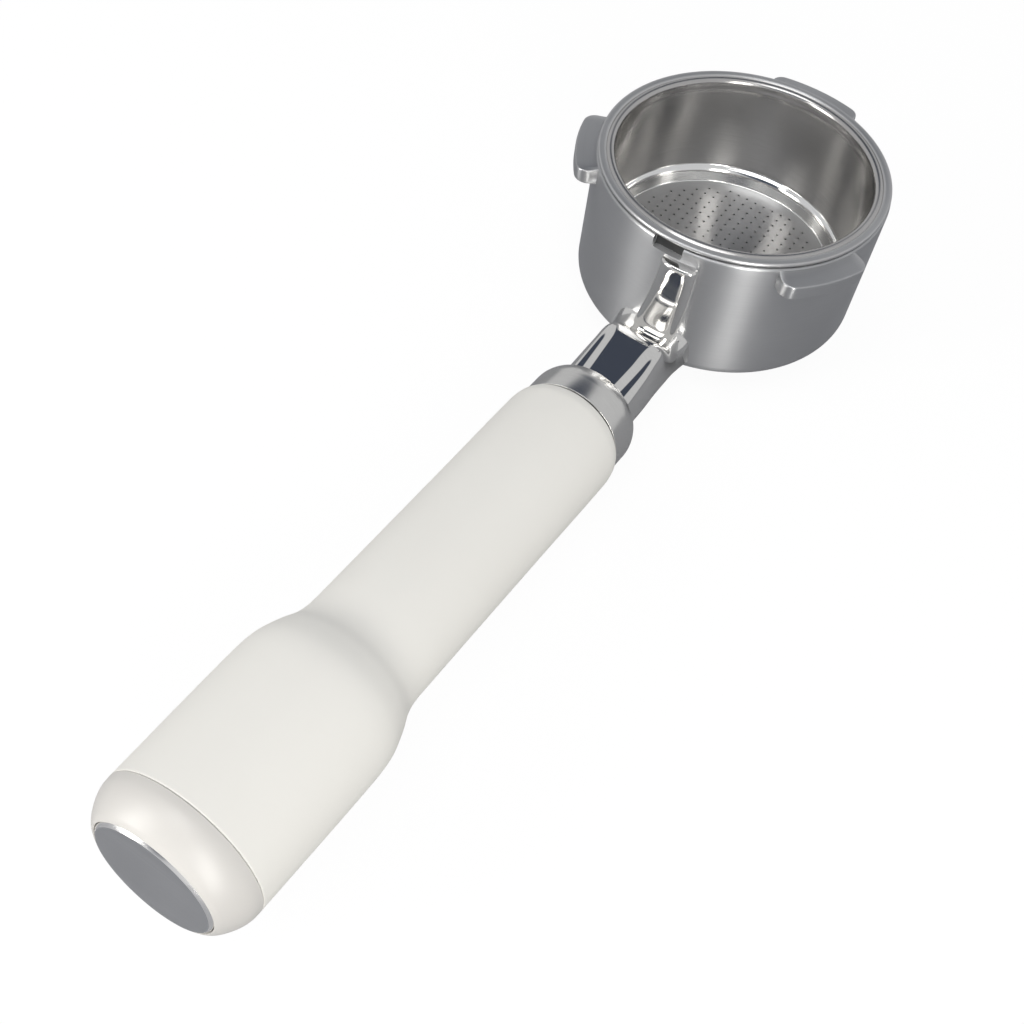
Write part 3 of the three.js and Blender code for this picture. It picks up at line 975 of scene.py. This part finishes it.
def basket_finish():
    material, tree, shader = new_material("basket_steel")
    shader.inputs["Metallic"].default_value = 1.0
    shader.inputs["Anisotropic"].default_value = 0.7
    shader.inputs["Anisotropic Rotation"].default_value = ACROSS_RINGS
    place = place_for(tree, "cup")
    soft = use_group(tree, CLOUD, place, Scale=70.0)
    rings = use_group(tree, TURNED, place, Lines=7000.0)
    mixed = weigh(tree, soft, rings)
    tone = spread(tree, mixed, 0.0, 1.0)
    parts = add(tree, "ShaderNodeSeparateXYZ")
    tree.links.new(place, parts.inputs[0])
    height = parts.outputs["Z"]
    radius = radius_of(tree, parts)
    flange = within(tree, ("GREATER_THAN", radius, FLANGE_FROM), ("GREATER_THAN", height, FLANGE_ABOVE))
    floor = within(tree, ("LESS_THAN", radius, FLOOR_WITHIN), ("LESS_THAN", height, FLOOR_BELOW))
    step = within(tree, ("GREATER_THAN", radius, FLOOR_WITHIN), ("LESS_THAN", height, STEP_BELOW))
    dull = math_node(tree, "ADD", flange, floor)
    burnished = tint(tree, tone, (0.51, 0.50, 0.49), (0.63, 0.62, 0.61))
    faced = tint(tree, tone, (0.62, 0.62, 0.62), (0.72, 0.72, 0.72))
    brushed = tint(tree, tone, (0.44, 0.44, 0.44), (0.54, 0.54, 0.54))
    colour = mix(tree, dull, burnished, mix(tree, floor, faced, brushed))
    # The step is painted near white: a painted highlight.
    tree.links.new(mix(tree, step, colour, STEP_HIGHLIGHT_TONE), shader.inputs["Base Color"])
    rough = mix(tree, dull, spread(tree, mixed, 0.2, 0.27), spread(tree, mixed, 0.36, 0.42), "FLOAT")
    smoother = math_node(tree, "SUBTRACT", rough, math_node(tree, "MULTIPLY", step, STEP_POLISH))
    tree.links.new(smoother, shader.inputs["Roughness"])
    emboss(tree, shader, rings, 0.015)
    return material


# %% [markdown]
# The floor of the rim notch is painted darker than the satin skin round it: painted shade in the
# recess. The mask is a small box inside the notch, and inside it the cup's colour is swapped for a
# dark grey.

# %% A helper for the painted shade in the notch
NOTCH_SHADE_HALF = NOTCH_WIDTH / 2 + 0.9
NOTCH_SHADE_NEAR = -28.9
NOTCH_SHADE_FAR = -27.936
NOTCH_SHADE_FOOT = NOTCH_FOOT + 0.1
# The dark grey is painted shade for the notch's recess.
NOTCH_SHADE_TONE = (0.13, 0.13, 0.13, 1)


def paint_notch_shade(material):
    tree = material.node_tree
    shader = next(node for node in tree.nodes if node.type == "BSDF_PRINCIPLED")
    skin = shader.inputs["Base Color"].links[0].from_socket
    parts = add(tree, "ShaderNodeSeparateXYZ")
    tree.links.new(place_for(tree, "cup"), parts.inputs[0])
    sideways = math_node(tree, "ABSOLUTE", parts.outputs["X"])
    notch_shade_mask = within(tree, ("LESS_THAN", sideways, NOTCH_SHADE_HALF), ("GREATER_THAN", parts.outputs["Y"], NOTCH_SHADE_NEAR),
                 ("LESS_THAN", parts.outputs["Y"], NOTCH_SHADE_FAR), ("GREATER_THAN", parts.outputs["Z"], NOTCH_SHADE_FOOT))
    # Inside the box the satin colour gives way to painted shade.
    tree.links.new(mix(tree, notch_shade_mask, skin, NOTCH_SHADE_TONE), shader.inputs["Base Color"])


# %% [markdown]
# The finishes are made here, apart from the end disc's. The satin and the basket's steel stretch
# their highlights across the turned lines, and the polished steel is the smoothest.

# %% Make the finishes
satin = metal("satin_steel", (0.55, 0.553, 0.562), (0.60, 0.603, 0.61), (0.37, 0.41),
              lines=5200.0, depth=0.008, aniso=0.85)
# Paints shade into the rim notch's recess.
paint_notch_shade(satin)
polished = metal("polished_steel", (0.80, 0.79, 0.77), (0.86, 0.85, 0.83), (0.07, 0.1),
                 lines=3000.0, depth=0.003, axis="handle", wear=0.2)
basket_steel = basket_finish()
collar_steel = metal("collar_steel", (0.74, 0.73, 0.71), (0.82, 0.81, 0.79), (0.2, 0.26),
                     lines=3000.0, depth=0.004, axis="handle", wear=0.3)
spring_steel = metal("spring_steel", (0.42, 0.41, 0.39), (0.55, 0.54, 0.52), (0.25, 0.34))
plain_steel = metal("plain_steel", (0.4, 0.4, 0.39), (0.56, 0.56, 0.55), (0.3, 0.42), axis="handle")
light_alloy = metal("light_alloy", (0.6, 0.61, 0.62), (0.72, 0.73, 0.74), (0.34, 0.46),
                    axis="handle", depth=0.08)
off_white = plastic("off_white_moulding", (0.83, 0.815, 0.77), (0.86, 0.845, 0.80), (0.46, 0.54))
cap_white = plastic("off_white_cap", (0.64, 0.62, 0.59), (0.67, 0.65, 0.62), (0.32, 0.38), depth=0.008)
rubber = plastic("black_rubber", (0.012, 0.012, 0.012), (0.025, 0.024, 0.023), (0.6, 0.75), depth=0.2)
print("finishes:", ", ".join(sorted(material.name for material in bpy.data.materials)))

# %% [markdown]
# The end disc is brushed straight across, not in rings, and its bevel is polished and painted near
# white, a painted highlight. Lines come from a noise that is stretched along one direction, and the
# bevel is found by its height: the flat face is the only part at full height.

# %% The brushed disc
BRUSHING = math.radians(62)
FACE_DEPTH = 0.04
# The bevel's near white tone is a painted highlight.
BEVEL_HIGHLIGHT_TONE = (0.97, 0.96, 0.95, 1)
BEVEL_ROUGH = 0.22


def brushed_disc_material():
    material, tree, shader = new_material("disc_steel")
    shader.inputs["Metallic"].default_value = 1.0
    place = place_for(tree, "handle")
    stretch = add(tree, "ShaderNodeMapping")
    stretch.inputs["Rotation"].default_value = (0, 0, BRUSHING)
    stretch.inputs["Scale"].default_value = (60, 5200, 60)
    tree.links.new(place, stretch.inputs["Vector"])
    lines = add(tree, "ShaderNodeTexNoise")
    lines.inputs["Scale"].default_value = 1.0
    lines.inputs["Detail"].default_value = 3.0
    tree.links.new(stretch.outputs["Vector"], lines.inputs["Vector"])
    soft = use_group(tree, CLOUD, place, Scale=90.0)
    parts = add(tree, "ShaderNodeSeparateXYZ")
    tree.links.new(place, parts.inputs[0])
    flat = within(tree, ("GREATER_THAN", parts.outputs["Z"], DISC_FACE - FACE_DEPTH))
    mixed = weigh(tree, lines.outputs["Fac"], soft, 0.6)
    brushed = tint(tree, spread(tree, mixed, 0.0, 1.0), (0.5, 0.505, 0.52), (0.6, 0.605, 0.62))
    # The bevel is painted near white: a painted highlight.
    tree.links.new(mix(tree, flat, BEVEL_HIGHLIGHT_TONE, brushed), shader.inputs["Base Color"])
    rough = mix(tree, flat, BEVEL_ROUGH, spread(tree, mixed, 0.32, 0.44), "FLOAT")
    tree.links.new(rough, shader.inputs["Roughness"])
    emboss(tree, shader, lines.outputs["Fac"], 0.06)
    return material


disc_steel = brushed_disc_material()
print("made:", disc_steel.name)

# %% [markdown]
# Each piece made here takes its finish. The inner pieces are still the CAD model's own, so they get
# a finish and smooth shading, and stay where they are.

# %% Put each finish on its pieces
INNER_SHARP = 40


def dress(piece, material):
    piece.data.materials.clear()
    piece.data.materials.append(material)


outer_finishes = (
    (cup, satin), (basket, basket_steel), (arm, polished), (collar, collar_steel), (seal, rubber),
    (grip, off_white), (cap, cap_white), (disc, disc_steel))
for piece, material in outer_finishes:
    dress(piece, material)

inner_finishes = {
    "basket_spring": spring_steel, "grip_core": light_alloy, "turn_stop_pin": plain_steel,
    "bolt_washer": plain_steel, "lock_washer": plain_steel, "tie_bolt": plain_steel, "disc_pad": rubber,
}
for name, material in inner_finishes.items():
    node = frame["nodes"][name]
    dress(node, material)
    shade_smooth(node.data, INNER_SHARP)
print("inner pieces dressed:", ", ".join(inner_finishes))

# %% [markdown]
# ## The studio
#
# A large pale floor lies just under the lowest point. It is bright to the eye and a calmer grey in
# reflections, as the edges of a small studio table are, so that the metal keeps its mid tones. From
# below it is clear, so that the open underside of the cup can be looked at too.

# %% Lay the floor
FLOOR_SIZE = 40.0
FLOOR_GAP = 0.0002
FLOOR_GLOW = 1.1
GLOW_SHARE = 0.86


def floor_material():
    material = bpy.data.materials.new("studio_floor")
    material.use_nodes = True
    tree = material.node_tree
    tree.nodes.clear()
    plain = add(tree, "ShaderNodeBsdfDiffuse")
    paths = add(tree, "ShaderNodeLightPath")
    tree.links.new(tint(tree, paths.outputs["Is Glossy Ray"], (0.44, 0.44, 0.44), (0.34, 0.345, 0.36)),
                   plain.inputs["Color"])
    bright = add(tree, "ShaderNodeEmission")
    bright.inputs["Strength"].default_value = FLOOR_GLOW
    share = math_node(tree, "MULTIPLY", paths.outputs["Is Camera Ray"], GLOW_SHARE)
    mixed = add(tree, "ShaderNodeMixShader")
    tree.links.new(share, mixed.inputs[0])
    tree.links.new(plain.outputs[0], mixed.inputs[1])
    tree.links.new(bright.outputs[0], mixed.inputs[2])
    clear = add(tree, "ShaderNodeBsdfTransparent")
    side = add(tree, "ShaderNodeNewGeometry")
    open_below = add(tree, "ShaderNodeMixShader")
    tree.links.new(side.outputs["Backfacing"], open_below.inputs[0])
    tree.links.new(mixed.outputs[0], open_below.inputs[1])
    tree.links.new(clear.outputs[0], open_below.inputs[2])
    output = add(tree, "ShaderNodeOutputMaterial")
    tree.links.new(open_below.outputs[0], output.inputs["Surface"])
    return material


floor_mesh = bmesh.new()
bmesh.ops.create_grid(floor_mesh, x_segments=1, y_segments=1, size=FLOOR_SIZE)
floor = finish_mesh(floor_mesh, "studio_floor")
floor.location.z = cad_box[0][2] - FLOOR_GAP
dress(floor, floor_material())

# %% [markdown]
# Three soft boxes light the object. Each is placed by its compass direction round the object, its
# height angle and its distance, and looks at the middle of the handle.

# %% Set the lights
MIDDLE = Vector((0, -0.07, -0.015))
WARM = (1, 0.985, 0.95)


def around_object(compass, height, distance):
    """A point seen from MIDDLE: compass 0 is on the handle's side, counter-clockwise from above."""
    a, e = math.radians(compass), math.radians(height)
    return MIDDLE + distance * Vector((math.sin(a) * math.cos(e), -math.cos(a) * math.cos(e), math.sin(e)))


def soft_box(name, compass, height, distance, size, power, colour=(1, 1, 1)):
    data = bpy.data.lights.new(name, "AREA")
    data.shape = "RECTANGLE"
    data.size, data.size_y = size
    data.energy = power
    data.color = colour
    box = bpy.data.objects.new(name, data)
    box.location = around_object(compass, height, distance)
    box.rotation_euler = (MIDDLE - box.location).to_track_quat("-Z", "Y").to_euler()
    bpy.context.scene.collection.objects.link(box)
    print(f"{name}: {power} W, {distance} m away")


soft_box("left_front", -38, 22, 0.6, (0.2, 0.42), 1.6, WARM)
soft_box("right_front", 43, 18, 0.6, (0.15, 0.5), 1.9, WARM)
soft_box("overhead", -15, 72, 0.9, (0.5, 0.4), 1.7)

# %% [markdown]
# The room round the boxes is a soft grey tent with two dark, slightly blue gaps: one high above the
# cup's back, and one above the handle, where a camera looks in. The polished arm mirrors them. Seen
# directly, the tent is plain and pale, as the floor is.

# %% Make the tent
BACK_GAP = Vector((-0.25, 0.53, 0.81)).normalized()
FRONT_GAP = Vector((-0.15, -0.69, 0.71)).normalized()
world = bpy.data.worlds.new("tent")
bpy.context.scene.world = world
world.use_nodes = True
tent = world.node_tree
backdrop = tent.nodes["Background"]
direction = add(tent, "ShaderNodeTexCoord")


def gap(toward, start, end):
    """How far into a round gap a direction is."""
    facing = add(tent, "ShaderNodeVectorMath", operation="DOT_PRODUCT")
    facing.inputs[1].default_value = toward
    tent.links.new(direction.outputs["Generated"], facing.inputs[0])
    edge = add(tent, "ShaderNodeMapRange", interpolation_type="SMOOTHSTEP")
    edge.inputs["From Min"].default_value = start
    edge.inputs["From Max"].default_value = end
    tent.links.new(facing.outputs["Value"], edge.inputs["Value"])
    return edge.outputs["Result"]


gaps = math_node(tent, "MAXIMUM", gap(BACK_GAP, 0.90, 0.965), gap(FRONT_GAP, 0.88, 0.95))
shade = tint(tent, gaps, (0.58, 0.585, 0.595), (0.055, 0.065, 0.09))
seen_directly = add(tent, "ShaderNodeLightPath").outputs["Is Camera Ray"]
tent.links.new(mix(tent, seen_directly, shade, (0.96, 0.96, 0.96, 1)), backdrop.inputs["Color"])
backdrop.inputs["Strength"].default_value = 1.0
bpy.context.scene.view_settings.view_transform = "Standard"
print("tent:", len(tent.nodes), "nodes")

# %% [markdown]
# ## The camera
#
# The camera looks down over the handle's end from its right, and is rolled a little so that the
# handle runs to the lower left corner.

# %% Place the camera
SENSOR = 36
LENS = 43.68
NEAREST = 0.01
STAND = Vector((0.05984, -0.20066, 0.15636))
AIM = Vector((0, -0.08034, -0.02968))
CAMERA_ROLL = math.radians(8.41)
camera_data = bpy.data.cameras.new("camera")
camera_data.sensor_width = SENSOR
camera_data.lens = LENS
camera_data.clip_start = NEAREST
camera = bpy.data.objects.new("camera", camera_data)
camera.location = STAND
look = (AIM - camera.location).to_track_quat("-Z", "Y").to_matrix().to_4x4()
camera.rotation_euler = (look @ Matrix.Rotation(CAMERA_ROLL, 4, "Z")).to_euler()
bpy.context.scene.collection.objects.link(camera)
bpy.context.scene.camera = camera
print(f"camera: {(AIM - STAND).length / MM:.0f} mm from its aim, {LENS} mm lens")

# %% [markdown]
# Last, the view layer is brought up to date. The finer pieces have to stay inside the
# box of the CAD model.

# %% Update the view layer
bpy.context.view_layer.update()
